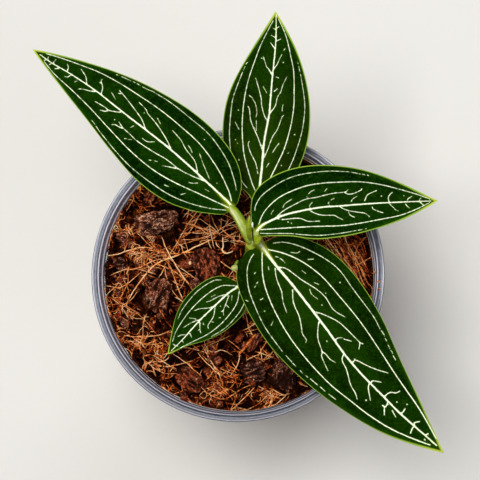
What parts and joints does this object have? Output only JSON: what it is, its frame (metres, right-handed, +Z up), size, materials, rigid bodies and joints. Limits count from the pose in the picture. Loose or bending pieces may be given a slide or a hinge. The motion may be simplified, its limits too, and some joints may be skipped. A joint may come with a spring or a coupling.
{
  "type": "potted jewel orchid",
  "caption": "Jewel orchid with dark green, white-veined leaves on a short leaning stem, growing in a clear tapered nursery pot of coir and bark chips.",
  "frame": {"origin": "centre of the pot's foot, on the plane it stands on", "axes": "+Z up, +Y towards the top leaf, +X towards the right-hand leaf"},
  "size_m": [0.1247, 0.1317, 0.107],
  "materials": {
    "clear_plastic": "clear, faintly blue, gloss",
    "coir": "matte fibre",
    "bark": "matte, rough",
    "stem": "fleshy, satin",
    "leaf": "velvety green with cream nerves"
  },
  "bodies": {
    "root": {"pot": "clear_plastic", "potting_mix": "coir", "bark_chip_01": "bark", "bark_chip_02": "bark", "bark_chip_03": "bark", "bark_chip_04": "bark", "bark_chip_05": "bark", "bark_chip_06": "bark", "bark_chip_07": "bark", "bark_chip_08": "bark", "bark_chip_09": "bark", "bark_chip_10": "bark", "bark_chip_11": "bark", "bark_chip_12": "bark", "bark_chip_13": "bark", "stem_and_roots": "stem", "leaf_upper_left": "leaf", "leaf_top": "leaf", "leaf_right": "leaf", "leaf_lower_right": "leaf", "leaf_small": "leaf"}
  },
  "joints": []
}
